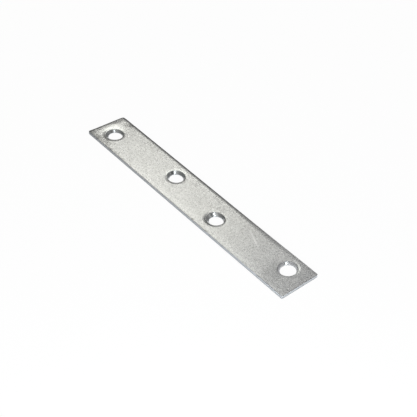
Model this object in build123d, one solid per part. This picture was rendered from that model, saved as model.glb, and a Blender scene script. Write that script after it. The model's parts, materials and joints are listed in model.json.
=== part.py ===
from build123d import *
import os
from math import radians, tan

# A mending plate: a flat strip of zinc-plated sheet steel, blanked in one stroke, with four
# countersunk screw holes set zig-zag on two rows. All sizes are in millimetres.
# The plate lies on its plain underside: origin at the middle of the underside, +X along the
# strip, +Y across it, +Z up through the sheet towards the countersunk face.

# Strip
strip_length = 100.0
strip_width = 16.0
sheet_thickness = 1.25
corner_radius = 0.45  # the blank's four corners, seen from above

# Sheared edge, from the countersunk face down: shoulder, roll-over, burnished band, break-out
shoulder_width = 1.0  # band along each edge where the face begins to fall
shoulder_drop = 0.08  # how far it has fallen at the edge
roll_over_radius = 0.28
break_out_height = 0.35  # torn lower part of the edge
break_out_lean = 0.04  # how far it leans in at the underside

# Hole pattern
end_margin = 7.3  # from each end of the strip to its outer hole
inner_pitch = 24.1  # between the two inner holes, along the strip
row_spacing = 3.1  # between the two rows that the holes alternate on

# Struck countersunk hole, from the countersunk face down: dish, lip, cone, land, break-out
bore_diameter = 5.0
land_height = 0.22  # straight wall left under the cone, with its break-out
countersink_angle = 90.0
dish_width = 1.7  # ring of face drawn down round each mouth
dish_depth = 0.1
dish_bow = 0.01  # how far the dish bows down between its two rims
lip_radius = 0.2
bore_break_height = 0.07
bore_break_flare = 0.05

# Worked out from the sizes above
mouth_depth = sheet_thickness - dish_depth - land_height
mouth_diameter = bore_diameter + 2 * mouth_depth * tan(radians(countersink_angle / 2))
outer_pitch = strip_length - 2 * end_margin
clear_of_sheet = sheet_thickness  # how far the cutters stand clear of both faces


def hole_centres():
    """The four centres, left to right: the rows alternate, so half a turn maps the plate on itself."""
    row = row_spacing / 2
    return [
        (-outer_pitch / 2, -row),
        (-inner_pitch / 2, row),
        (inner_pitch / 2, -row),
        (outer_pitch / 2, row),
    ]


def sheared_section(span):
    """Section across a strip of the given span, as the shears leave it: both top edges are drawn
    down over a shoulder and a roll-over, and both lower edges lean in where the sheet tore."""
    half = span / 2
    top = sheet_thickness
    inner = half - shoulder_width
    with BuildSketch(Plane.XZ) as section:
        with BuildLine():
            underside = Line((-half + break_out_lean, 0), (half - break_out_lean, 0))
            Line(underside @ 1, (half, break_out_height))
            right_wall = Line((half, break_out_height), (half, top - shoulder_drop))
            face_right = TangentArc((inner, top), right_wall @ 1, tangent=(1, 0))
            face = Line(face_right @ 0, (-inner, top))
            face_left = TangentArc(face @ 1, (-half, top - shoulder_drop), tangent=(-1, 0))
            left_wall = Line(face_left @ 1, (-half, break_out_height))
            Line(left_wall @ 1, underside @ 0)
        make_face()
        side_corners = section.vertices().filter_by(lambda v: abs(v.X) > half - shoulder_width / 2)
        upper_corners = side_corners.filter_by(lambda v: v.Y > top / 2)
        fillet(upper_corners, roll_over_radius)
    return section.sketch


def sheared_blank():
    """The strip before piercing: the lengthwise and crosswise sections cross each other, and the
    outline of the blanking die rounds the four corners."""
    lengthwise = extrude(sheared_section(strip_length), amount=strip_width / 2, both=True)
    crosswise = extrude(sheared_section(strip_width), amount=strip_length / 2, both=True)
    crosswise = Rot(0, 0, 90) * crosswise
    outline = extrude(RectangleRounded(strip_length, strip_width, corner_radius), amount=sheet_thickness)
    return lengthwise & crosswise & outline


def countersink_cutter():
    """What one stroke of the countersinking punch and its piercing pin removes, on the Z axis."""
    bore = bore_diameter / 2
    mouth = mouth_diameter / 2
    dish = mouth + dish_width
    top = sheet_thickness
    rim = top - dish_depth
    with BuildSketch(Plane.XZ) as section:
        with BuildLine():
            floor = Line((0, -clear_of_sheet), (bore + bore_break_flare, -clear_of_sheet))
            below = Line(floor @ 1, (bore + bore_break_flare, 0))
            flare = Line(below @ 1, (bore, bore_break_height))
            land = Line(flare @ 1, (bore, land_height))
            cone = Line(land @ 1, (mouth, rim))
            dished = SagittaArc(cone @ 1, (dish, top), dish_bow)
            side = Line(dished @ 1, (dish, top + clear_of_sheet))
            lid = Line(side @ 1, (0, top + clear_of_sheet))
            Line(lid @ 1, floor @ 0)
        make_face()
        lip = section.vertices().sort_by_distance((mouth, rim))[0]
        fillet(lip, lip_radius)
    return revolve(section.sketch, Axis.Z)


def mending_plate():
    """The finished plate: the sheared blank, pierced and countersunk at the four centres."""
    plate = sheared_blank()
    cutter = countersink_cutter()
    for x, y in hole_centres():
        plate -= Pos(x, y, 0) * cutter
    return plate


os.makedirs("parts", exist_ok=True)
plate = mending_plate()
export_step(plate, "parts/plate.step")
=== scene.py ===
import json
import math

import bpy
import numpy as np
from bpy.props import FloatProperty, FloatVectorProperty, PointerProperty
from bpy.types import Operator, Panel, PropertyGroup
from mathutils import Matrix, Vector


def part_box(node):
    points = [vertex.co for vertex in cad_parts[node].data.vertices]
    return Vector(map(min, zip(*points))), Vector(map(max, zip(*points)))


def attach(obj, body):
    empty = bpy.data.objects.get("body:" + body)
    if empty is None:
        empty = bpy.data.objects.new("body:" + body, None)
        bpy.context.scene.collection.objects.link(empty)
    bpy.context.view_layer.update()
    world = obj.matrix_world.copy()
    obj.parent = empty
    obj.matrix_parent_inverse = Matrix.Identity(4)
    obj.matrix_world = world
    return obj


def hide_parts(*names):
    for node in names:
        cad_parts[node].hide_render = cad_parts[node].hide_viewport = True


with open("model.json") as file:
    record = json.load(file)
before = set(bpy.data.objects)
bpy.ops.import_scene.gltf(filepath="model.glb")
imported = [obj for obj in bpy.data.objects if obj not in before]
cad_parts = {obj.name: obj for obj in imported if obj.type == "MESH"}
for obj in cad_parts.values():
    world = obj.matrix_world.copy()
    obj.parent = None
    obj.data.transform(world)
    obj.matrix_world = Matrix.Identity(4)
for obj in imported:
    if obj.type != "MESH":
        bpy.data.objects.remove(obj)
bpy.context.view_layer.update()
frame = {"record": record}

bl_info = {
    "name": "Mending Plate",
    "version": (1, 0, 0),
    "blender": (4, 5, 0),
    "location": "3D View > Sidebar > Mending Plate",
    "description": "Zinc-plated mending plate with struck countersinks, its finish and its studio",
    "category": "Add Mesh",
}

MM = 0.001
LOW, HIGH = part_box("plate")
HALF = np.array([(HIGH.x - LOW.x) / 2, (HIGH.y - LOW.y) / 2])
SHEET = HIGH.z - LOW.z
BORES = [m for m in frame["record"]["mounts"] if m["kind"] == "bore"]
CENTRES = np.array([m["pos_m"][:2] for m in BORES])
HOLES = range(len(CENTRES))

# How finely the surface is cut
CELL = 0.27 * MM                       # along the strip
COUNT_ACROSS = 61
FACE_RINGS, UNDERSIDE_RINGS = 30, 7    # from each hole out to its cell's sides, above and below
LIP_ROWS, CONE_ROWS, LAND_ROWS, ROLL_ROWS = 13, 8, 4, 9
THIRDS = np.array([0.33, 0.67, 1.0])   # rows of the burnished band and of the break-out
EVEN_SHARE = 0.25                      # smallest gap of crowded points, as a share of the mean one
WELD_GRID = 1e-4 * MM
TINY = 1e-9                            # differences below this are rounding
SHARP_ANGLE = math.radians(35)

# Where the bands along the edges change: the place, and the reach of the change, which is negative where
# the change grows towards the left
FAR_SWELL_AT = (28 * MM, 9 * MM)
FAR_SHALLOW_AT = (36 * MM, 3 * MM)
NEAR_WIDE_AT = (18 * MM, 4 * MM)
CROWN_ENDS_AT = (-24 * MM, -2.5 * MM)
LEFT_CORNER_AT = (-42 * MM, -1.5 * MM)
LEFT_SHALLOW_AT = (-HALF[1], 2 * MM)   # across the strip

# How much they change there, as shares of their own width or depth. FAR_STEEPER is added to the power
FAR_WIDER, FAR_STEEPER, FAR_SHALLOWER = 0.8, 0.8, 0.8
NEAR_WIDER, CORNER_WIDER, CORNER_SHALLOWER, LEFT_SHALLOWER = 1.2, 4, 0.5, 0.6

# Powers by which the face falls in the bands along the edges and in the rings round the holes
FAR_POWER, NEAR_POWER, LEFT_POWER, RIGHT_POWER = 1.3, 2.0, 1.2, 2.0
DISH_POWER, DRAW_POWER, FALL_POWER, FALL_SIDE_POWER = 1.3, 2, 1.3, 1.2

# Random lines round each hole, whose sum is divided by the swing, and random waves over the strip
FRINGE_SEED, FRINGE_LINES, FRINGE_COUNTS, FRINGE_SWING = 40, 24, (9, 60), 5
WAVE_SEED, WAVES, WAVE_LENGTHS = 7, 14, (6 * MM, 22 * MM)
DRAW_RAGGED = 0.25                     # how much the lines waver the drawn ring's width

# What the countersinking punch did to the zinc round each hole and to its wall, with painted light and shade
# there
DISH_SMOOTHED = 0.7
# Painted shade beside each mouth, on its near side, standing in for the dark that the lip and dish mirror
MOUTH_SHADE_WIDTH, MOUTH_SHADE_RAGGED, MOUTH_SHADE_NARROWEST, MOUTH_SHADE_SIDE_POWER = 0.9 * MM, 0.5, 0.2, 3
# Painted shade on each hole's dark side, over its wall, lip and a narrow rim of the face, standing in for the
# shadowed hole that the wall mirrors
PAINTED_SHADE_RIM, PAINTED_SHADE_SPREAD = 0.38 * MM, 0.25
# The rubbed side of each wall is lighter: partly freshly rubbed metal, partly a painted highlight of the
# lamp's streak
RUBBED_SPREAD, RUBBED_AND_HIGHLIGHT_LIGHTER = 0.022, 0.3
FLAT_REACH, FLAT_EDGE, FLAT_GROWTH = 0.22, 4, 0.3
WALL_LINES = 0.15

# How much lighter or darker the sheared edge is painted, over the roll-over and in each row of the burnished
# band and of the break-out: partly the duller torn zinc, partly painted light and shade
ROLL_TONE, BAND_TONES, TORN_TONES = -0.14, (-0.07, 0.0, -0.12), (-0.30, -0.36, -0.36)

# The same at the right end, where the part under the band has its tone multiplied and shifted
END_BAND_TONE, END_TORN_TIMES, END_TORN_TONE = 0.13, 1.25, -0.05

# Painted light and shade added to it along the near side: everywhere, and towards the right, the left and the
# left corner
NEAR_BAND_TONE, NEAR_RIGHT_TONE, NEAR_CORNER_TONE = 0.10, 0.09, -0.19
NEAR_TORN_TONE, NEAR_LEFT_TONE = -0.16, -0.12
NEAR_RIGHT_AT, NEAR_LEFT_AT, NEAR_CORNER_AT = (37 * MM, 3.5 * MM), (-22 * MM, -8 * MM), (-44 * MM, -1 * MM)

# The zinc's pattern: scales and details of its two noises, how much the cloudy one adds, and the range of
# their sum
FINE_SCALE, FINE_DETAIL = 6200.0, 1.0
CLOUD_SCALE, CLOUD_DETAIL, CLOUD_SHARE = 1000.0, 2.0, 0.15
PATTERN_RANGE = (0.245, 0.905)
GRAIN_HEIGHT = 0.045 * MM
SCUFFED_ROUGHNESS = 0.55
# Painted tint: the right end's cooler colour stands in for the cooler light falling there
COOL_LIGHT_AT = (10 * MM, 48 * MM)         # the face's colour passes over to the right end's between these

# How much of the mottle smoothed and sheared metal loses, and how much of the grain
SMOOTHED_LOSS, SHEARED_LOSS, GRAIN_LOSS = 1.15, 0.88, 0.93

# Strokes: the scale and the size of their outlines' wandering, the heights between which they set in, how
# wide they are at full strength and at none, in half widths, and the power by which they fade in length
RAGGED_SCALE, RAGGED_REACH = 1500.0, 0.4 * MM
STROKE_HEIGHTS = (0.5 * MM, 0.8 * MM)
STROKE_EDGE = (0.3, 1.4)
STROKE_FADE = 3.0

# Lamps: name, azimuth and elevation in degrees and distance, width and height, tint
LAMPS = (
    ("soft box", (146.7, 48.2, 0.45), (0.228, 0.16), (1.0, 1.0, 0.93)),
    ("side box", (-38.0, 18.0, 0.20), (0.08, 0.05), (0.95, 0.98, 1.0)),
    ("strip light", (-13.0, 37.0, 0.50), (0.050, 0.66), (0.93, 0.97, 1.0)),
    ("right card", (48.0, 34.0, 0.50), (0.12, 0.12), (1.0, 1.0, 1.0)),
    ("front card", (-52.0, 50.0, 0.50), (0.14, 0.14), (1.0, 1.0, 1.0)),
)
NOT_MIRRORED = "side box"              # this lamp is not seen in the metal
FLOOR_REACH = 4.0                      # from the middle to each side
SKY_HEIGHTS = (0.2, 0.85)              # from the low sky to the high one, as sines of the elevation
DARK_CORNER_AT = (15.0, 42.0)          # azimuth and elevation
DARK_CORNER_ANGLES = (34, 12)          # it sets in at the first of these turns away and is full at the second

# Camera: what it looks at; its azimuth, elevation, distance and roll; its focal length in millimetres, and
# the nearest distance that it sees
CAMERA_AIM = (0.0068, 0.0, HIGH.z)
CAMERA_PLACE = (43.47, 41.28, 0.2990, 7.77)
CAMERA_LENS, CAMERA_NEAREST = 77.5, 0.01

# Dents in the face, in millimetres: along, across, reach, depth
DENTS = (
    (7.7, -7.6, 0.35, 0.10),       # nicks in the near edge
    (14.5, -7.7, 0.35, 0.10),
    (-37.5, -7.5, 0.60, 0.08),
    (28.6, 5.0, 0.40, 0.02),       # a knock near the scratch
    (-44.4, 7.0, 1.20, 0.10),      # pressed places beside the left outer hole
    (-42.5, -6.6, 1.60, 0.08),
)

# Scratches and stains on the face, with painted shade and highlights, in millimetres: from x, y to x, y, half
# width, how much lighter or darker the zinc is painted there, as a share of its own colour, and 1 where that
# fades out towards the second end
STROKES = (
    # The scratch is lighter partly as bare metal and partly as a painted highlight of the light it catches
    (22.9, 4.05, 30.6, 0.48, 0.29, 1.20, 1),         # the scratch and its dark end
    (29.4, 0.5, 28.9, -1.1, 0.20, -0.34, 0),
    # Painted shade: the darker patches at the right end stand in for where the face mirrors less of the soft
    # box
    (41.5, -7.5, 40.0, -0.5, 3.00, -0.19, 0),        # dull patches at the right end
    (46.5, -8.0, 46.5, 8.0, 4.00, -0.12, 0),
    # Painted shade: the darker patches at the left end stand in for where the face mirrors less of the soft
    # box
    (-42.0, 5.0, -28.0, 6.0, 3.00, -0.06, 0),        # dull and dark patches at the left end
    (-44.5, -4.9, -41.0, -5.2, 0.90, -0.28, 0),
    (-48.7, -7.0, -48.7, 1.0, 1.20, -0.12, 0),
    (3.3, 6.3, 5.0, 3.9, 0.12, -0.16, 0),            # a short dark scratch
    (44.0, 7.1, 44.2, 7.0, 0.36, 0.28, 0),           # light specks beside the right outer hole
    (47.0, 3.3, 47.1, 3.2, 0.34, 0.28, 0),
    (47.0, 0.3, 47.1, 0.2, 0.34, 0.28, 0),
    # Painted shade: these dark marks round the left outer hole stand in for the dark that its dish and the
    # corner mirror
    (-49.6, -6.9, -44.5, -7.2, 1.10, -0.42, 0),      # dark marks round the left outer hole
    (-44.6, -5.9, -39.6, -6.5, 0.90, -0.24, 0),
    (-45.6, 5.4, -43.9, 6.8, 1.00, -0.28, 0),
    (-48.6, 2.4, -48.0, 6.6, 0.80, -0.28, 0),
    # Painted shade: these dark lines stand in for the dark room that the rolled edges mirror, on top of the
    # edges' own roll
    (-49.85, -8.0, -49.85, 8.0, 0.66, -0.70, 0),     # dark lines along the left end and the long edges
    (-50.0, 7.73, 34.0, 7.80, 0.56, -0.70, 1),
    (-46.0, -7.7, -26.0, -7.7, 0.80, -0.27, 1),
    (7.4, -7.7, 8.0, -7.6, 0.35, -0.35, 0),          # the nicks in the near edge
    (14.2, -7.8, 14.8, -7.7, 0.35, -0.35, 0),
    (-38.0, -7.8, -37.0, -7.7, 0.45, -0.35, 0),
    # Painted shade along the near edge's roll-over and its left corner
    (-47.0, -8.0, 24.0, -8.0, 0.45, -0.20, 1),       # a dark line along the near edge and its left corner
    (-49.9, -7.9, -47.6, -7.9, 0.70, -0.34, 0),
)


# ---------------------------------------------------------------------------------------------
# Sizes, finish and studio: what a user would change
# ---------------------------------------------------------------------------------------------

def length(name, description, millimetres):
    """A length, given in millimetres and shown in the scene's units."""
    return FloatProperty(name=name, description=description, default=millimetres * MM, unit="LENGTH",
                         precision=5)


def share(name, description, default):
    """A plain number between 0 and 1."""
    return FloatProperty(name=name, description=description, default=default, min=0.0, max=1.0,
                         subtype="FACTOR")


def watts(name, description, default):
    """The power of a lamp."""
    return FloatProperty(name=name, description=description, default=default, min=0.0, unit="POWER")


def colour(name, description, *default):
    """A colour in linear red, green and blue."""
    return FloatVectorProperty(name=name, description=description, default=default, size=3, subtype="COLOR",
                               min=0.0, max=1.0)


def number_per_hole(name, description, *numbers, **more):
    """One number for each hole, from the left outer hole to the right outer hole."""
    return FloatVectorProperty(name=name, description=description, default=numbers, size=len(HOLES),
                               **more)


def length_per_hole(name, description, *millimetres):
    """One length for each hole, given in millimetres."""
    lengths = [v * MM for v in millimetres]
    return number_per_hole(name, description, *lengths, unit="LENGTH", precision=5)


def share_per_hole(name, description, *shares):
    """One number between 0 and 1 for each hole."""
    return number_per_hole(name, description, *shares, min=0.0, max=1.0)


def side_per_hole(name, description, *degrees):
    """One side of each hole, as a turn from +X towards +Y, given in degrees."""
    turns = [math.radians(a) for a in degrees]
    return number_per_hole(name, description + ", from +X towards +Y", *turns, subtype="EULER")


class PlateForm(PropertyGroup):
    """The shape left by the shears, the piercing punch and the countersinking punch, and the painted shade
    round the holes.
    """

    corner_radius: length("Corner radius", "Radius of the blank's corners, seen from above", 0.45)
    roll_over: length("Roll-over", "Radius that the shears leave along the top edges", 0.13)
    far_roll_depth: length("Far roll depth", "How far the face falls towards the far long edge", 0.27)
    far_roll_width: length("Far roll width", "Width of the band in which it falls", 1.35)
    near_roll_depth: length("Near roll depth", "How far the face falls towards the near long edge", 0.07)
    near_roll_width: length("Near roll width", "Width of the band in which it falls", 0.50)
    near_crown_depth: length("Near crown depth", "How far the face bows down towards the near edge", 0.07)
    near_crown_width: length("Near crown width", "Width of the band in which it bows down", 3.6)
    left_roll_depth: length("Left roll depth", "How far the face falls towards the left end", 0.18)
    left_roll_width: length("Left roll width", "Width of the band in which it falls", 2.0)
    right_roll_depth: length("Right roll depth", "How far the face falls towards the right end", 0.008)
    right_roll_width: length("Right roll width", "Width of the band in which it falls", 0.8)
    break_out: length("Break-out", "Height of the torn lower part of the edge", 0.35)
    break_lean: length("Break-out lean", "How far the torn part leans in at the underside", 0.04)
    waviness: length("Waviness", "Height of the long waves left by levelling the strip", 0.012)

    land_height: length("Land height", "Straight wall left under each cone, with its break-out", 0.18)
    bore_break: length("Bore break-out", "Height of the flare at the foot of each hole", 0.07)
    bore_flare: length("Bore flare", "How much wider the hole is at the underside", 0.05)
    lip_radius: length_per_hole(
        "Lip radius", "Radius between the face and each cone", 0.40, 0.35, 0.38, 0.25)
    mouth_radius: length_per_hole(
        "Mouth radius", "Radius of each countersink at the face", 3.14, 3.11, 3.09, 2.98)
    mouth_along: length_per_hole(
        "Mouth along", "Shift of each countersink along the strip", -0.58, -0.18, -0.22, -0.18)
    mouth_across: length_per_hole(
        "Mouth across", "Shift of each countersink across the strip", 0.38, 0.23, 0.25, 0.38)
    bore_radius: length_per_hole("Bore radius", "Radius of each pierced hole", 2.45, 2.40, 2.40, 2.45)
    bore_along: length_per_hole(
        "Bore along", "Shift of each pierced hole along the strip", -0.19, 0.00, 0.26, -0.05)
    bore_across: length_per_hole(
        "Bore across", "Shift of each pierced hole across the strip", 0.40, 0.24, 0.28, 0.52)
    oval: number_per_hole(
        "Oval", "Size of each hole across the strip, as a share of its size along it",
        1.045, 1.045, 1.03, 1.19)

    polish: share_per_hole("Polish", "How smooth the punch left each hole's wall", 0.9, 1.0, 0.82, 0.0)
    rub_side: side_per_hole("Rub side", "Side that the punch rubbed smooth", 151, 152, 154, 152)
    flat_turn: number_per_hole(
        "Flat turn", "How far the rubbed side is turned, as a slope", 0.0, 0.0, 0.05, 0.14)
    flat_share: share_per_hole(
        "Flat share", "How flat the rubbed side is: 0 is as round as the hole", 0.15, 0.35, 0.35, 0.90)
    # Painted shade beside each mouth, standing in for the dark that its lip and dish mirror
    mouth_shade: share_per_hole(
        "Smear", "How dark the zinc is smeared beside each mouth", 0.20, 0.22, 0.40, 0.0)
    mouth_shade_side: side_per_hole("Smear side", "Side on which it is smeared", 268, 272, 252, 270)
    # Painted shade on each hole's dark side, standing in for the shadowed hole that the wall mirrors
    painted_shade_side: side_per_hole("Tear side", "Side that the punch left torn and dark", 22, 22, 26, 34)
    painted_shade_share: share_per_hole("Tear share", "How torn and dark that side is", 0.78, 0.75, 0.85, 0.30)

    dish_depth: length_per_hole(
        "Dish depth", "How far the face is drawn down at each mouth", 0.20, 0.008, 0.07, 0.07)
    dish_width: length_per_hole("Dish width", "Width of the ring that is drawn down", 2.4, 1.2, 1.4, 0.62)
    dish_side: side_per_hole("Dish side", "Side on which each dish is deepest", 174, 160, 240, 45)
    dish_bias: number_per_hole(
        "Dish bias", "How one-sided each dish is: 0 is even all round", 1.2, 1.0, 2.0, 3.0)
    draw_depth: length_per_hole(
        "Draw depth", "How far the face is drawn down evenly round each mouth", 0.05, 0.005, 0.025, 0.0)
    draw_width: length("Draw width", "Width of the ring drawn down evenly", 0.9)
    fall_depth: length_per_hole(
        "Fall depth", "How far the near side of each mouth is drawn down", 0.14, 0.15, 0.15, 0.045)
    fall_width: length_per_hole("Fall width", "Width over which it falls", 0.90, 0.90, 0.92, 0.45)
    fall_side: side_per_hole("Fall side", "Side that is drawn down", 300, 322, 318, 315)


class ZincFinish(PropertyGroup):
    """Zinc plate on rolled sheet, and the smoother grey of the sheared and pressed faces."""

    face_colour: colour("Face", "Zinc on the rolled faces", 0.825, 0.825, 0.812)
    # Painted tint: this cooler colour at the right end stands in for the cooler light falling there
    cool_light_end_colour: colour("Right end", "Zinc on the rolled face at the right end", 0.820, 0.828, 0.843)
    edge_colour: colour("Edge", "Zinc on the sheared edges", 0.36, 0.375, 0.395)
    cone_colour: colour("Countersink", "Zinc on the pressed cones", 0.68, 0.70, 0.695)
    face_roughness: share("Face roughness", "Roughness of the rolled faces", 0.316)
    edge_roughness: share("Edge roughness", "Roughness of the sheared edges", 0.55)
    cone_roughness: share("Countersink roughness", "Roughness of the pressed cones", 0.22)
    edge_metal: share("Edge metal", "How metallic the sheared edges look", 0.30)
    mottle: share("Mottle", "Strength of the fine mottle in the zinc", 0.95)
    grain: share("Grain", "Strength of the fine grain in the surface", 0.90)


class Studio(PropertyGroup):
    """Floor, room and lamps."""

    floor_colour: colour("Floor", "Pale floor under the plate", 0.80, 0.80, 0.80)
    floor_glow: share("Floor glow", "Share of the floor's white that does not depend on the lamps", 0.97)
    sky_low: share("Low sky", "Light of the room near the floor", 0.19)
    sky_high: share("High sky", "Light of the room overhead", 0.30)
    dark_corner: share("Dark corner", "How dark the room is beyond the right end", 0.62)
    soft_box: watts("Soft box", "Power of the large lamp that the face mirrors", 0.192)
    side_box: watts("Side box", "Power of the lamp beside the near right corner", 0.45)
    strip_light: watts("Strip light", "Power of the tall narrow lamp that the hole walls mirror", 0.48)
    right_card: watts("Right card", "Power of the weak wide lamp beyond the right end", 0.025)
    front_card: watts("Front card", "Power of the weak wide lamp before the near side", 0.035)


# ---------------------------------------------------------------------------------------------
# Curves and grids
# ---------------------------------------------------------------------------------------------

def bump(value, middle, reach):
    """A bell curve of height 1: the exponential of minus the square of the distance in reaches."""
    return np.exp(-((value - middle) / reach) ** 2)


def ramp(value, middle, reach):
    """An S-curve from 0 to 1 that is a half at the middle: one over one plus an exponential. A negative
    reach makes it fall instead of rise."""
    return 1 / (1 + np.exp(-(value - middle) / reach))


def within(distance, width):
    """1 at no distance, falling in a straight line to 0 at the width, and held between 0 and 1."""
    return np.clip(1 - distance / width, 0, 1)


def toward(turn, side, power):
    """1 towards the side and 0 away from it: a power of half of one plus the cosine of the turn between."""
    return (0.5 + 0.5 * np.cos(turn - side)) ** power


def beam(turn, side, spread):
    """1 towards the side and near 0 elsewhere: the exponential of the cosine of the turn between, less one,
    over the spread."""
    return np.exp((np.cos(turn - side) - 1) / spread)


def rising(count, start, end):
    """Even steps from start to end, held between 0 and 1."""
    return np.clip(np.linspace(start, end, count), 0, 1)


def crowded(count, at_start, at_end):
    """Numbers from 0 to 1 that crowd together at the chosen ends: a sine of the even step, blended with
    the even step itself so that the gaps there don't shrink to nothing."""
    t = np.linspace(0.0, 1.0, count)
    if at_start and at_end:
        curve = 0.5 - 0.5 * np.cos(np.pi * t)
    elif at_start:
        curve = 1.0 - np.sin(np.pi / 2 * (1.0 - t))
    elif at_end:
        curve = np.sin(np.pi / 2 * t)
    else:
        curve = t
    return (1 - EVEN_SHARE) * curve + EVEN_SHARE * t


def on_outline(share_xy, inset, corner_radius):
    """Place of points on the plate's outline moved inwards by inset. share_xy runs from -1 to 1 along
    each side of the plate. The rectangle's corners are rounded: each point is pushed out along the line
    from the nearest point of a smaller rectangle, to the corner radius less the inset."""
    half = HALF - inset
    place = share_xy * half
    radius = corner_radius - inset
    core = np.clip(place, -(half - radius), half - radius)
    away = place - core
    size = np.maximum(np.linalg.norm(away, axis=1, keepdims=True), TINY)
    rounded = core + away / size * radius
    on_edge = (np.abs(share_xy) > 1 - TINY).any(axis=1, keepdims=True)
    return np.where(on_edge, rounded, place)


def around(xs, ys):
    """Points along the four sides of a rectangle whose sides carry the values xs and ys, closed."""
    rim = np.concatenate([
        np.stack([xs, np.full_like(xs, ys[0])], axis=1)[:-1],
        np.stack([np.full_like(ys, xs[-1]), ys], axis=1)[:-1],
        np.stack([xs, np.full_like(xs, ys[-1])], axis=1)[:0:-1],
        np.stack([np.full_like(ys, xs[0]), ys], axis=1)[:0:-1],
    ])
    return np.concatenate([rim, rim[:1]])


def rings_between(inner, outer, count):
    """Rings that share the way from the inner outline to the outer one, crowded at both."""
    return inner + (outer - inner) * crowded(count, True, True)[:, None, None]


def with_height(flat, height):
    """Adds a height to points x, y."""
    return np.concatenate([flat, np.broadcast_to(height, flat.shape[:2])[..., None]], axis=-1)


def grid_faces(rows, columns, start):
    """Quads of a grid of rows by columns vertices, numbered row by row from start."""
    row, column = np.meshgrid(np.arange(rows - 1), np.arange(columns - 1), indexing="ij")
    first = start + row * columns + column
    return np.stack([first, first + 1, first + columns + 1, first + columns], axis=-1).reshape(-1, 4)


class Shell:
    """Collects grids of vertices, each with the marks that the tools left there and the painted light and
    shade, and welds them.
    """

    def __init__(self):
        self.points, self.faces, self.count = [], [], 0
        self.marks = {"pressed": [], "sheared": [], "shade": [], "scuffed": []}

    def add(self, grid, pressed, sheared, shade=0.0, scuffed=0.0, flip=False):
        """grid is rows x columns x 3; pressed, sheared and scuffed run from 0 to 1, and shade is how much
        lighter or darker the zinc is painted, as a share of its own colour: partly marks the tools left,
        partly painted light and shade."""
        rows, columns = grid.shape[:2]
        faces = grid_faces(rows, columns, self.count)
        self.faces.append(faces[:, ::-1] if flip else faces)
        self.points.append(grid.reshape(-1, 3))
        values = {"pressed": pressed, "sheared": sheared, "shade": shade, "scuffed": scuffed}
        for name, value in values.items():
            self.marks[name].append(np.broadcast_to(np.asarray(value, float), (rows, columns)).reshape(-1))
        self.count += rows * columns

    def weld(self):
        """Vertices that round to the same point of the weld grid become one, and a face that has lost a
        side by it is left out."""
        points, faces = np.concatenate(self.points), np.concatenate(self.faces)
        key = np.round(points / WELD_GRID).astype(np.int64)
        _, first, where = np.unique(key, axis=0, return_index=True, return_inverse=True)
        faces = where.reshape(-1)[faces]
        keep = (faces != np.roll(faces, 1, axis=1)).all(axis=1)
        return points[first], faces[keep], {name: np.concatenate(v)[first] for name, v in self.marks.items()}


# ---------------------------------------------------------------------------------------------
# The countersunk face
# ---------------------------------------------------------------------------------------------

def hole_centre(form, i, part):
    """Centre of hole i's mouth or bore."""
    return CENTRES[i] + np.array([getattr(form, part + "_along")[i], getattr(form, part + "_across")[i]])


def cone_slope(form, i):
    """Slope of hole i's cone: it falls from the mouth radius at the face to the bore radius at the land."""
    return math.atan2(SHEET - form.land_height, form.mouth_radius[i] - form.bore_radius[i])


def lip_start(form, i):
    """Radius at which hole i's lip leaves the face: the lip's arc touches both face and cone."""
    return form.mouth_radius[i] + form.lip_radius[i] * math.tan(cone_slope(form, i) / 2)


def from_hole(place, form, i):
    """Points relative to hole i's mouth, with the distance across the strip shrunk by the hole's oval."""
    return (place - hole_centre(form, i, "mouth")) / np.array([1.0, form.oval[i]])


def round_hole(place, form, i):
    """The turn of each point round hole i, from +X towards +Y, and how far out from the lip it lies."""
    away = from_hole(place, form, i)
    return np.arctan2(away[..., 1], away[..., 0]), np.linalg.norm(away, axis=-1) - lip_start(form, i)


def fringe(turn, i):
    """Uneven drawing of the metal round hole i, about -1 to 1: sines of random whole multiples of the turn,
    added up."""
    dice = np.random.default_rng(FRINGE_SEED + i)
    counts = dice.integers(*FRINGE_COUNTS, FRINGE_LINES)
    phases = dice.uniform(0, 2 * np.pi, FRINGE_LINES)
    return np.sin(turn[..., None] * counts + phases).sum(axis=-1) / FRINGE_SWING


def dish_share(place, form, i):
    """How far inside hole i's dish each point lies, 0 outside its ring and 1 at the lip, and how near its
    direction from the hole is to the dish's deep side."""
    turn, out = round_hole(place, form, i)
    return within(out, form.dish_width[i]), toward(turn, form.dish_side[i], form.dish_bias[i])


def pressed_share(place, form):
    """How much the countersinking punch has smoothed the face: most at each mouth's deep side, and 0
    outside its dish."""
    pressed = np.zeros(place.shape[:-1])
    for i in HOLES:
        inside, one_sided = dish_share(place, form, i)
        pressed = np.maximum(pressed, inside * one_sided)
    return DISH_SMOOTHED * pressed


def painted_wall_shade(turn, form, i):
    """How much painted shade hole i has towards each turn, most at its painted dark side."""
    return form.painted_shade_share[i] * beam(turn, form.painted_shade_side[i], PAINTED_SHADE_SPREAD)


def painted_mouth_shade(place, form, i):
    """Painted shade beside hole i: darkest at the lip on its shaded side, fading outwards over a width that
    wavers with the fringe, so that it ends in short streaks. On the wall's painted dark side it is as dark as
    the wall at the lip, and fades within a narrow rim."""
    turn, out = round_hole(place, form, i)
    side = toward(turn, form.mouth_shade_side[i], MOUTH_SHADE_SIDE_POWER)
    width = MOUTH_SHADE_WIDTH * np.maximum(1 + MOUTH_SHADE_RAGGED * fringe(turn, i), MOUTH_SHADE_NARROWEST)
    rim = painted_wall_shade(turn, form, i) * within(out, PAINTED_SHADE_RIM)
    return np.maximum(form.mouth_shade[i] * side * within(out, width), rim)


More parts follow.
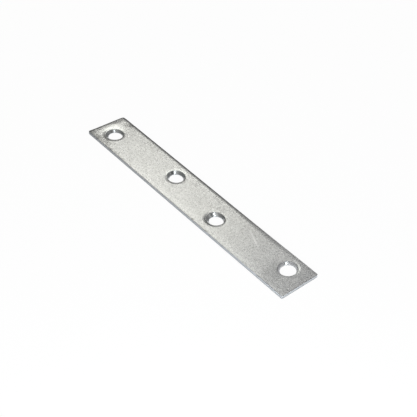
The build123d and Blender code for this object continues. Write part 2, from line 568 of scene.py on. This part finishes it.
def drawn_down(place, form, i):
    """How far the punch drew the face down round hole i. All round: a depth times a power of how far inside
    the drawn ring the point lies, where the ring's width wavers with the fringe. On one side: a depth times
    powers of how far inside the fall's width the point lies and of how near it is to that side."""
    turn, out = round_hole(place, form, i)
    width = form.draw_width * (1 + DRAW_RAGGED * fringe(turn, i))
    even = form.draw_depth[i] * within(out, width) ** DRAW_POWER
    fall = form.fall_depth[i] * within(out, form.fall_width[i]) ** FALL_POWER
    return even + fall * toward(turn, form.fall_side[i], FALL_SIDE_POWER)


def fall_to_edges(x, y, form):
    """How far the face falls towards the edges: in each band, its depth times a power of how far inside the
    band the point lies. The far band widens and steepens right of the middle, and grows shallow at the
    right end. The near band widens towards the right and round the left corner, where it is shallower, and
    the wide bow beside it ends towards the left. The left band is shallower in its near corner."""
    swell = bump(x, *FAR_SWELL_AT)
    corner = ramp(x, *LEFT_CORNER_AT)
    far_depth = form.far_roll_depth * (1 - FAR_SHALLOWER * ramp(x, *FAR_SHALLOW_AT))
    far_width = form.far_roll_width * (1 + FAR_WIDER * swell)
    near_depth = form.near_roll_depth * (1 - CORNER_SHALLOWER * corner)
    near_width = form.near_roll_width * (1 + CORNER_WIDER * corner + NEAR_WIDER * ramp(x, *NEAR_WIDE_AT))
    crown_depth = form.near_crown_depth * (1 - ramp(x, *CROWN_ENDS_AT))
    left_depth = form.left_roll_depth * (1 - LEFT_SHALLOWER * bump(y, *LEFT_SHALLOW_AT))
    bands = (
        (HALF[1] - y, far_depth, far_width, FAR_POWER + FAR_STEEPER * swell),
        (HALF[1] + y, near_depth, near_width, NEAR_POWER),
        (HALF[1] + y, crown_depth, form.near_crown_width, NEAR_POWER),
        (HALF[0] + x, left_depth, form.left_roll_width, LEFT_POWER),
        (HALF[0] - x, form.right_roll_depth, form.right_roll_width, RIGHT_POWER),
    )
    return sum(depth * within(distance, width) ** power for distance, depth, width, power in bands)


def fall_to_holes(place, form):
    """How far the face falls towards the holes: each dish's depth times a power of how far inside it the
    point lies, more on its deep side, and what the punch drew down besides."""
    fall = np.zeros(place.shape[:-1])
    for i in HOLES:
        inside, one_sided = dish_share(place, form, i)
        fall += form.dish_depth[i] * inside ** DISH_POWER * one_sided + drawn_down(place, form, i)
    return fall


def dents(x, y):
    """Dents in the face, each a bell curve of the distance from its middle."""
    return sum(depth * MM * bump(np.hypot(x - along * MM, y - across * MM), 0, reach * MM)
               for along, across, reach, depth in DENTS)


def waves(x, y, form):
    """Long, low waves over the whole strip: sines of random direction, length and phase, each raised by one
    so that the face only falls."""
    dice = np.random.default_rng(WAVE_SEED)
    fall = np.zeros_like(x)
    for _ in range(WAVES):
        turn = dice.uniform(0, 2 * np.pi)
        wave = dice.uniform(*WAVE_LENGTHS)
        phase = dice.uniform(0, 2 * np.pi)
        along = x * np.cos(turn) + y * np.sin(turn)
        fall += form.waviness / WAVES * (1 + np.sin(2 * np.pi / wave * along + phase))
    return fall


def relief(place, form):
    """How far the countersunk face lies under its plane, in metres, at points x, y: the falls towards the
    edges and the holes, the dents and the waves, added up."""
    x, y = place[..., 0], place[..., 1]
    return fall_to_edges(x, y, form) + fall_to_holes(place, form) + dents(x, y) + waves(x, y, form)


# ---------------------------------------------------------------------------------------------
# Holes, edge and the whole plate
# ---------------------------------------------------------------------------------------------

def hole_profile(form, i):
    """Radius and height, share of the way from mouth to bore, and share of shearing of hole i's wall, from
    the face down to the underside: an arc for the lip, the straight cone, the land and the flare."""
    bore, lip, slope = form.bore_radius[i], form.lip_radius[i], cone_slope(form, i)
    bend = np.linspace(0, slope, LIP_ROWS)
    arc = np.stack([lip_start(form, i) - lip * np.sin(bend), SHEET - lip * (1 - np.cos(bend))], axis=1)
    foot = np.array([bore, form.land_height])
    cone = arc[-1] + (foot - arc[-1]) * np.linspace(0, 1, CONE_ROWS + 1)[1:, None]
    heights = np.linspace(form.land_height, form.bore_break, LAND_ROWS + 1)[1:]
    land = np.stack([np.full(LAND_ROWS, bore), heights], axis=1)
    flare = np.array([[bore + form.bore_flare / 2, form.bore_break / 2], [bore + form.bore_flare, 0.0]])
    wall = np.concatenate([arc, cone, land, flare])
    down = np.clip((SHEET - wall[:, 1:]) / (SHEET - form.land_height), 0, 1)
    sheared = wall[:, 1:] < form.land_height + TINY
    return wall, down, sheared


def rubbed_flat(turn, form, i):
    """How far hole i's wall stands off from round towards each turn, as a share of its radius: a slope and a
    parabola of the turn away from the rubbed side, inside a window with soft ends round that side."""
    off = np.angle(np.exp(1j * (turn - form.rub_side[i])))
    window = np.exp(-(off / FLAT_REACH) ** FLAT_EDGE)
    return (form.flat_turn[i] * off + form.flat_share[i] / 2 * off ** 2) * window


def wall_marks(turn, down, form, i):
    """How smooth, how scuffed and how much lighter or darker hole i's wall is. What the punch polished and
    rubbed is smooth, and what it didn't polish is scuffed. The wall is lighter on its rubbed side, partly
    rubbed metal and partly a painted highlight, has painted shade on its dark side, and has fine lines that
    grow downwards."""
    rubbed = beam(turn, form.rub_side[i], RUBBED_SPREAD)
    polish = np.maximum(form.polish[i], rubbed)
    grow = rising(len(down), 0, 3)[:, None]                 # full from the first third of the rows on
    shade = WALL_LINES * fringe(turn, i) * down - painted_wall_shade(turn, form, i) + grow * RUBBED_AND_HIGHLIGHT_LIGHTER * rubbed
    return grow * polish, grow * (1 - polish), shade


def add_plain_cell(shell, form, xs, ys):
    """A part of the strip without a hole, from above and from below."""
    share_xy = np.stack(np.meshgrid(xs, ys), axis=-1).reshape(-1, 2)
    shape = (len(ys), len(xs), 2)
    top = on_outline(share_xy, form.roll_over, form.corner_radius).reshape(shape)
    below = on_outline(share_xy, form.break_lean, form.corner_radius).reshape(shape)
    shell.add(with_height(top, SHEET - relief(top, form)), pressed_share(top, form), 0.0)
    shell.add(with_height(below, 0.0), 0.0, 0.0, flip=True)


def add_hole_cell(shell, form, xs, ys, i):
    """A part of the strip with hole i: rings from the mouth out to the cell's sides, the hole's wall, and
    rings from the bore out to the cell's sides below, which are fewer because the underside is flat. The
    wall is its profile carried round a centre that moves from the mouth's to the bore's, and the relief at
    the lip fades out down the cone."""
    rim = around(xs, ys)
    outer = on_outline(rim, form.roll_over, form.corner_radius)
    away = from_hole(outer, form, i)
    away /= np.linalg.norm(away, axis=1, keepdims=True)
    turn = np.arctan2(away[:, 1], away[:, 0])
    wall, down, sheared = hole_profile(form, i)
    mouth, bore = hole_centre(form, i, "mouth"), hole_centre(form, i, "bore")
    centre = (mouth + (bore - mouth) * down)[:, None]
    spokes = away * np.array([1.0, form.oval[i]]) * wall[:, :1, None]
    rings = centre + spokes * (1 + rubbed_flat(turn, form, i)[:, None] * down[:, None] ** FLAT_GROWTH)

    top = rings_between(rings[0], outer, FACE_RINGS)
    shell.add(with_height(top, SHEET - relief(top, form)), pressed_share(top, form), 0.0,
              shade=-painted_mouth_shade(top, form, i), flip=True)
    smooth, scuffed, shade = wall_marks(turn, down, form, i)
    height = wall[:, 1:] - relief(rings[0], form) * (1 - down)
    pressed = np.maximum(pressed_share(rings[0], form) * (1 - down), smooth)
    shell.add(with_height(rings, height), pressed, sheared, shade=shade, scuffed=scuffed)
    below = rings_between(rings[-1], on_outline(rim, form.break_lean, form.corner_radius), UNDERSIDE_RINGS)
    shell.add(with_height(below, 0.0), 0.0, 0.0)


def edge_profile(form):
    """Inset and height of the sheared edge, from the face down: a quarter circle for the roll-over, the
    burnished band and the break-out, which leans in."""
    turn = np.linspace(0, np.pi / 2, ROLL_ROWS)
    roll = form.roll_over * np.stack([1 - np.sin(turn), np.cos(turn) - 1], axis=1) + np.array([0, SHEET])
    shoulder = SHEET - form.roll_over
    band = np.stack([0 * THIRDS, shoulder + (form.break_out - shoulder) * THIRDS], axis=1)
    torn = np.stack([form.break_lean * THIRDS, form.break_out * (1 - THIRDS)], axis=1)
    return np.concatenate([roll, band, torn])


def edge_tone(outline, height, form):
    """How much lighter or darker the sheared edge is painted, partly the duller torn zinc and partly painted
    light and shade: a tone for each row of its profile, with more added along the near side, and with the
    right end's own tones there."""
    tone = np.concatenate([np.linspace(0, ROLL_TONE, ROLL_ROWS), BAND_TONES, TORN_TONES])[:, None]
    burnished = height > form.break_out + TINY
    torn = height < form.break_out - TINY
    along = outline[:, 0] * HALF[0]
    near_band = NEAR_BAND_TONE + NEAR_RIGHT_TONE * ramp(along, *NEAR_RIGHT_AT)
    near_band = near_band + NEAR_CORNER_TONE * ramp(along, *NEAR_CORNER_AT)
    near_torn = torn * (NEAR_TORN_TONE + NEAR_LEFT_TONE * ramp(along, *NEAR_LEFT_AT))
    near_side = tone + np.where(burnished, near_band, near_torn)
    right_end = np.where(burnished, END_BAND_TONE, END_TORN_TIMES * tone + END_TORN_TONE)
    tone = np.where(outline[:, 1] < -1 + TINY, near_side, tone)
    return np.where(outline[:, 0] > 1 - TINY, right_end, tone)


def add_edge(shell, form, outline):
    """The sheared edge: its profile carried along the outline, with the face's relief fading out from the
    top of the roll-over down to the break-out."""
    profile = edge_profile(form)
    height = profile[:, 1:]
    band = np.stack([on_outline(outline, inset, form.corner_radius) for inset in profile[:, 0]])
    fade = np.clip((height - form.break_out) / (SHEET - form.break_out), 0, 1)
    sheared = rising(ROLL_ROWS, -2, 1)                      # over the last third of the roll-over's rows
    sheared = np.concatenate([sheared, np.ones(len(profile) - ROLL_ROWS)])[:, None]
    shell.add(with_height(band, height - relief(band, form) * fade), 0.0, sheared,
              shade=edge_tone(outline, height, form), flip=True)


def plate_mesh(form):
    """The whole plate as one closed shell. Seen from above it is cut into cells: four with a hole, as long
    as the strip is wide unless an end cuts them short, and three plain ones between them."""
    shell = Shell()
    ys = 2 * crowded(COUNT_ACROSS, True, True) - 1
    stops = np.clip((CENTRES[:, :1] + np.array([-1, 1]) * HALF[1]) / HALF[0], -1, 1).ravel()
    sides = [np.array([-1.0])]
    for i, (left, right) in enumerate(zip(stops[:-1], stops[1:])):
        count = max(3, int(round((right - left) * HALF[0] / CELL)))
        xs = left + (right - left) * crowded(count, left == -1, right == 1)
        sides.append(xs[1:])
        if i % 2:
            add_plain_cell(shell, form, xs, ys)
        else:
            add_hole_cell(shell, form, xs, ys, i // 2)
    add_edge(shell, form, around(np.concatenate(sides), ys))
    return shell.weld()


def put_mesh(name, points, faces):
    """A mesh object at the origin, its faces smooth but for the edges sharper than the sharp angle."""
    mesh = bpy.data.meshes.new(name)
    mesh.vertices.add(len(points))
    mesh.vertices.foreach_set("co", points.astype(np.float32).ravel())
    mesh.loops.add(faces.size)
    mesh.loops.foreach_set("vertex_index", faces.astype(np.int32).ravel())
    mesh.polygons.add(len(faces))
    mesh.polygons.foreach_set("loop_start", np.arange(0, faces.size, faces.shape[1], dtype=np.int32))
    mesh.polygons.foreach_set("use_smooth", np.ones(len(faces), bool))
    mesh.update(calc_edges=True)
    mesh.validate()
    mesh.set_sharp_from_angle(angle=SHARP_ANGLE)
    piece = bpy.data.objects.new(name, mesh)
    bpy.context.scene.collection.objects.link(piece)
    return piece


# ---------------------------------------------------------------------------------------------
# Finish
# ---------------------------------------------------------------------------------------------

class Recipe:
    """Builds the nodes of a material or a world. Most methods add a node and return its output."""

    def __init__(self, owner):
        owner.use_nodes = True
        self.nodes, self.links = owner.node_tree.nodes, owner.node_tree.links
        self.nodes.clear()

    def node(self, kind, settings=None, **inputs):
        """A node with the given settings; an input is a number, a colour or another node's output. A name
        such as _0 stands for the input's number, and any other name for the input's own, with _ for a
        space."""
        made = self.nodes.new("ShaderNode" + kind)
        for key, value in (settings or {}).items():
            setattr(made, key, value)
        for key, value in inputs.items():
            slot = made.inputs[int(key[1:])] if key[1:].isdigit() else made.inputs[key.replace("_", " ")]
            if isinstance(value, bpy.types.NodeSocket):
                self.links.new(value, slot)
            else:
                slot.default_value = value
        return made

    def math(self, operation, a, b=0.0, clamp=False):
        """Arithmetic of two numbers."""
        return self.node("Math", {"operation": operation, "use_clamp": clamp}, _0=a, _1=b).outputs[0]

    def vector(self, operation, a, b, output="Vector"):
        """Arithmetic of two vectors."""
        return self.node("VectorMath", {"operation": operation}, _0=a, _1=b).outputs[output]

    def scaled(self, vector, factor):
        """A vector or a colour times a number."""
        return self.node("VectorMath", {"operation": "SCALE"}, _0=vector, Scale=factor).outputs[0]

    def blend(self, share_of, a, b):
        """A colour share_of the way from a to b."""
        return self.node("Mix", {"data_type": "RGBA"}, _0=share_of, _6=a, _7=b).outputs[2]

    def slide(self, share_of, a, b):
        """A number share_of the way from a to b."""
        return self.node("Mix", None, _0=share_of, _2=a, _3=b).outputs[0]

    def fade(self, value, span, ends=(0.0, 1.0), kind="SMOOTHSTEP"):
        """A number that goes from the first end to the second while value goes through the span."""
        return self.node("MapRange", {"interpolation_type": kind}, Value=value, From_Min=span[0],
                         From_Max=span[1], To_Min=ends[0], To_Max=ends[1]).outputs[0]

    def noise(self, place, scale, detail):
        """Noise about a half, in octaves as many as the detail and one more."""
        return self.node("TexNoise", None, Vector=place, Scale=scale, Detail=detail).outputs["Fac"]

    def mark(self, name):
        """A number carried by the mesh's vertices."""
        return self.node("Attribute", {"attribute_name": name}).outputs["Fac"]

    def stroke(self, place, stroke):
        """How much lighter or darker the zinc is: 1 away from the stroke and 1 plus its strength along it.
        The distance is measured, seen from above, to the nearest point of the line between its two ends.
        The line is shifted by the mean of the wandering that place has been given."""
        x0, y0, x1, y1, half_width, strength, fades = stroke
        start = Vector((x0, y0, 0)) * MM + Vector((RAGGED_REACH / 2, RAGGED_REACH / 2, 0))
        along = Vector((x1 - x0, y1 - y0, 0)) * MM
        away = self.vector("MULTIPLY", self.vector("SUBTRACT", place, start), (1, 1, 0))
        part = self.vector("DOT_PRODUCT", away, along / along.length_squared, "Value")
        part = self.math("ADD", part, 0.0, clamp=True)
        off = self.vector("DISTANCE", away, self.scaled(tuple(along), part), "Value")
        inside = 1 + strength
        if fades:
            inside = self.slide(self.math("POWER", part, STROKE_FADE), inside, 1.0)
        return self.fade(off, [share_of * half_width * MM for share_of in STROKE_EDGE], (inside, 1.0))


def zinc_wear_and_painted_light(zinc, place, height):
    """The strokes' shares multiplied together, on the upper part of the plate only: scratches and stains,
    with painted shade along the edges and at the ends, and a painted highlight on the scratch. Noise moves
    the place at which they are looked up, so that their outlines are ragged."""
    wander = zinc.node("TexNoise", None, Vector=place, Scale=RAGGED_SCALE).outputs["Color"]
    ragged = zinc.node("VectorMath", {"operation": "MULTIPLY_ADD"}, _0=wander, _1=(RAGGED_REACH,) * 3,
                       _2=place).outputs[0]
    strokes_and_painted_light = 1.0
    for stroke in STROKES:
        strokes_and_painted_light = zinc.math("MULTIPLY", strokes_and_painted_light, zinc.stroke(ragged, stroke))
    return zinc.slide(zinc.fade(height, STROKE_HEIGHTS, kind="LINEAR"), 1.0, strokes_and_painted_light)


def zinc_colour(zinc, finish, along, pressed, sheared):
    """The zinc's colour: the face's, passing over along the strip to the right end's cooler one, a painted
    tint of the cooler light there, then the countersinks' where it is pressed, and the edges' where it is
    sheared."""
    face = zinc.blend(zinc.fade(along, COOL_LIGHT_AT), (*finish.face_colour, 1), (*finish.cool_light_end_colour, 1))
    plain = zinc.blend(pressed, face, (*finish.cone_colour, 1))
    return zinc.blend(sheared, plain, (*finish.edge_colour, 1))


def zinc_material(finish):
    """Zinc plate: mottled on the rolled faces, smoother in the countersinks and blue-grey on the sheared
    edges, with painted light and shade from the shade attribute and the strokes."""
    material = bpy.data.materials.new("zinc plate")
    zinc = Recipe(material)
    place = zinc.node("TexCoord").outputs["Object"]
    parts = zinc.node("SeparateXYZ", None, Vector=place).outputs
    pressed, sheared, shade_attribute, scuffed = map(zinc.mark, ("pressed", "sheared", "shade", "scuffed"))

    cloud = zinc.math("MULTIPLY", zinc.noise(place, CLOUD_SCALE, CLOUD_DETAIL), CLOUD_SHARE)
    pattern = zinc.math("ADD", zinc.noise(place, FINE_SCALE, FINE_DETAIL), cloud)
    tone = zinc.fade(pattern, PATTERN_RANGE, (1 - finish.mottle, 1 + finish.mottle), "LINEAR")
    smoothed = zinc.math("MAXIMUM", pressed, scuffed)
    tone = zinc.slide(zinc.math("MULTIPLY", smoothed, SMOOTHED_LOSS, clamp=True), tone, 1.0)
    tone = zinc.math("MULTIPLY", tone, zinc_wear_and_painted_light(zinc, place, parts["Z"]))
    tone = zinc.slide(zinc.math("MULTIPLY", sheared, SHEARED_LOSS), tone, 1.0)
    # The shade attribute: tool marks together with painted light and shade on the edges and round the holes
    tone = zinc.math("MULTIPLY", tone, zinc.math("ADD", shade_attribute, 1.0))
    tint = zinc.scaled(zinc_colour(zinc, finish, parts["X"], pressed, sheared), tone)

    roughness = zinc.slide(pressed, finish.face_roughness, finish.cone_roughness)
    roughness = zinc.slide(scuffed, roughness, SCUFFED_ROUGHNESS)
    roughness = zinc.slide(sheared, roughness, finish.edge_roughness)
    metal = zinc.slide(sheared, 1.0, finish.edge_metal)
    grainless = zinc.math("MULTIPLY", zinc.math("MAXIMUM", pressed, sheared), GRAIN_LOSS)
    grain = zinc.math("MULTIPLY", zinc.math("SUBTRACT", 1.0, grainless), finish.grain)
    normal = zinc.node("Bump", None, Strength=grain, Distance=GRAIN_HEIGHT, Height=pattern).outputs[0]
    shader = zinc.node("BsdfPrincipled", None, Base_Color=tint, Metallic=metal, Roughness=roughness,
                       Normal=normal)
    zinc.node("OutputMaterial", None, Surface=shader.outputs[0])
    return material


def floor_material(studio):
    """White floor: the lamps light it and the plate shades it, and the camera and the metal see most of its
    white as a plain glow of strength 1."""
    material = bpy.data.materials.new("pale floor")
    floor = Recipe(material)
    path = floor.node("LightPath").outputs
    seen = floor.math("ADD", path["Is Camera Ray"], path["Is Glossy Ray"])
    seen = floor.math("ADD", seen, path["Is Transmission Ray"], clamp=True)
    matt = floor.node("BsdfDiffuse", None, Color=(*studio.floor_colour, 1)).outputs[0]
    glow = floor.node("Emission", None, Color=(1, 1, 1, 1), Strength=1.0).outputs[0]
    mix = floor.node("MixShader", None, _0=floor.math("MULTIPLY", seen, studio.floor_glow), _1=matt, _2=glow)
    floor.node("OutputMaterial", None, Surface=mix.outputs[0])
    return material


# ---------------------------------------------------------------------------------------------
# Studio
# ---------------------------------------------------------------------------------------------

def direction(azimuth, elevation):
    """The direction at an azimuth from +X towards +Y and an elevation, in degrees."""
    az, el = math.radians(azimuth), math.radians(elevation)
    return Vector((math.cos(el) * math.cos(az), math.cos(el) * math.sin(az), math.sin(el)))


def lay_floor(studio):
    """A square floor at the height of the plate's underside."""
    corners = FLOOR_REACH * np.array([[-1, -1, 0], [1, -1, 0], [1, 1, 0], [-1, 1, 0]])
    floor = put_mesh("floor", corners, np.array([[0, 1, 2, 3]]))
    floor.data.materials.append(floor_material(studio))


def dim_room(studio):
    """The room's light: from the low sky's to the high sky's with the height of each ray, and weaker the
    nearer the ray comes to the dark corner."""
    world = bpy.data.worlds.new("dim room")
    room = Recipe(world)
    ray = room.node("TexCoord").outputs["Generated"]
    height = room.node("SeparateXYZ", None, Vector=ray).outputs["Z"]
    sky = room.fade(height, SKY_HEIGHTS, (studio.sky_low, studio.sky_high))
    nearness = room.vector("DOT_PRODUCT", ray, direction(*DARK_CORNER_AT), "Value")
    angles = [math.cos(math.radians(angle)) for angle in DARK_CORNER_ANGLES]
    corner = room.fade(nearness, angles, (1.0, 1 - studio.dark_corner))
    glow = room.node("Background", None, Color=(1, 1, 1, 1), Strength=room.math("MULTIPLY", sky, corner))
    room.node("OutputWorld", None, Surface=glow.outputs[0])
    bpy.context.scene.world = world


def hang_lamp(name, bearing, size, tint, power):
    """A rectangular soft lamp facing the plate. bearing is its azimuth, its elevation and its distance from
    the middle of the plate."""
    place = bearing[2] * direction(*bearing[:2])
    data = bpy.data.lights.new(name, "AREA")
    data.shape = "RECTANGLE"
    data.size, data.size_y = size
    data.energy = power
    data.color = tint
    lamp = bpy.data.objects.new(name, data)
    lamp.location = place
    lamp.rotation_euler = (-place).to_track_quat("-Z", "Y").to_euler()
    lamp.visible_glossy = name != NOT_MIRRORED
    bpy.context.scene.collection.objects.link(lamp)


def camera_placement(aim, azimuth, elevation, distance, roll):
    """The camera looks at aim from distance. Azimuth turns from the -Y side towards +X, elevation rises
    from the floor, and roll turns the camera clockwise about its own line of sight."""
    az, el, tilt = (math.radians(v) for v in (azimuth, elevation, roll))
    back = Vector((math.sin(az) * math.cos(el), -math.cos(az) * math.cos(el), math.sin(el)))
    right = Vector((math.cos(az), math.sin(az), 0))
    up = back.cross(right)
    right, up = right * math.cos(tilt) + up * math.sin(tilt), up * math.cos(tilt) - right * math.sin(tilt)
    place = Vector(aim) + back * distance
    return Matrix((
        (right.x, up.x, back.x, place.x),
        (right.y, up.y, back.y, place.y),
        (right.z, up.z, back.z, place.z),
        (0, 0, 0, 1),
    ))


def set_camera():
    """The camera over the near right side of the plate."""
    data = bpy.data.cameras.new("camera")
    data.lens = CAMERA_LENS
    data.clip_start = CAMERA_NEAREST
    camera = bpy.data.objects.new("camera", data)
    camera.matrix_world = camera_placement(CAMERA_AIM, *CAMERA_PLACE)
    scene = bpy.context.scene
    scene.collection.objects.link(camera)
    scene.camera = camera
    scene.view_settings.view_transform = "Standard"


# ---------------------------------------------------------------------------------------------
# Operators and panel
# ---------------------------------------------------------------------------------------------

class MENDINGPLATE_OT_plate(Operator):
    """Make the plate's surface from its sizes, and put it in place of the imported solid"""

    bl_idname = "mending_plate.plate"
    bl_label = "Plate"

    def execute(self, context):
        points, faces, marks = plate_mesh(context.scene.plate_form)
        piece = put_mesh("plate_surface", points, faces)
        for name, values in marks.items():
            store = piece.data.attributes.new(name, "FLOAT", "POINT")
            store.data.foreach_set("value", values.astype(np.float32))
        piece.data.materials.append(zinc_material(context.scene.zinc_finish))
        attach(piece, "root")
        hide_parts("plate")
        return {"FINISHED"}


class MENDINGPLATE_OT_studio(Operator):
    """Lay the floor, dim the room, hang the lamps and set up the camera"""

    bl_idname = "mending_plate.studio"
    bl_label = "Studio"

    def execute(self, context):
        studio = context.scene.plate_studio
        lay_floor(studio)
        dim_room(studio)
        for name, bearing, size, tint in LAMPS:
            hang_lamp(name, bearing, size, tint, getattr(studio, name.replace(" ", "_")))
        set_camera()
        return {"FINISHED"}


class MENDINGPLATE_PT_panel(Panel):
    """Lists the plate's operators and sizes in the 3D view's sidebar"""

    bl_idname = "MENDINGPLATE_PT_panel"
    bl_label = "Mending Plate"
    bl_space_type = "VIEW_3D"
    bl_region_type = "UI"
    bl_category = "Mending Plate"

    def draw(self, context):
        for operator in (MENDINGPLATE_OT_plate, MENDINGPLATE_OT_studio):
            self.layout.operator(operator.bl_idname)
        for group in (context.scene.plate_form, context.scene.zinc_finish, context.scene.plate_studio):
            box = self.layout.box()
            for name in group.__annotations__:
                box.prop(group, name)


CLASSES = (
    PlateForm, ZincFinish, Studio,
    MENDINGPLATE_OT_plate, MENDINGPLATE_OT_studio, MENDINGPLATE_PT_panel,
)


def register():
    for cls in CLASSES:
        bpy.utils.register_class(cls)
    bpy.types.Scene.plate_form = PointerProperty(type=PlateForm)
    bpy.types.Scene.zinc_finish = PointerProperty(type=ZincFinish)
    bpy.types.Scene.plate_studio = PointerProperty(type=Studio)


def unregister():
    del bpy.types.Scene.plate_studio
    del bpy.types.Scene.zinc_finish
    del bpy.types.Scene.plate_form
    for cls in reversed(CLASSES):
        bpy.utils.unregister_class(cls)


def main():
    register()
    bpy.ops.mending_plate.plate()
    bpy.ops.mending_plate.studio()


if __name__ == "__main__":
    main()
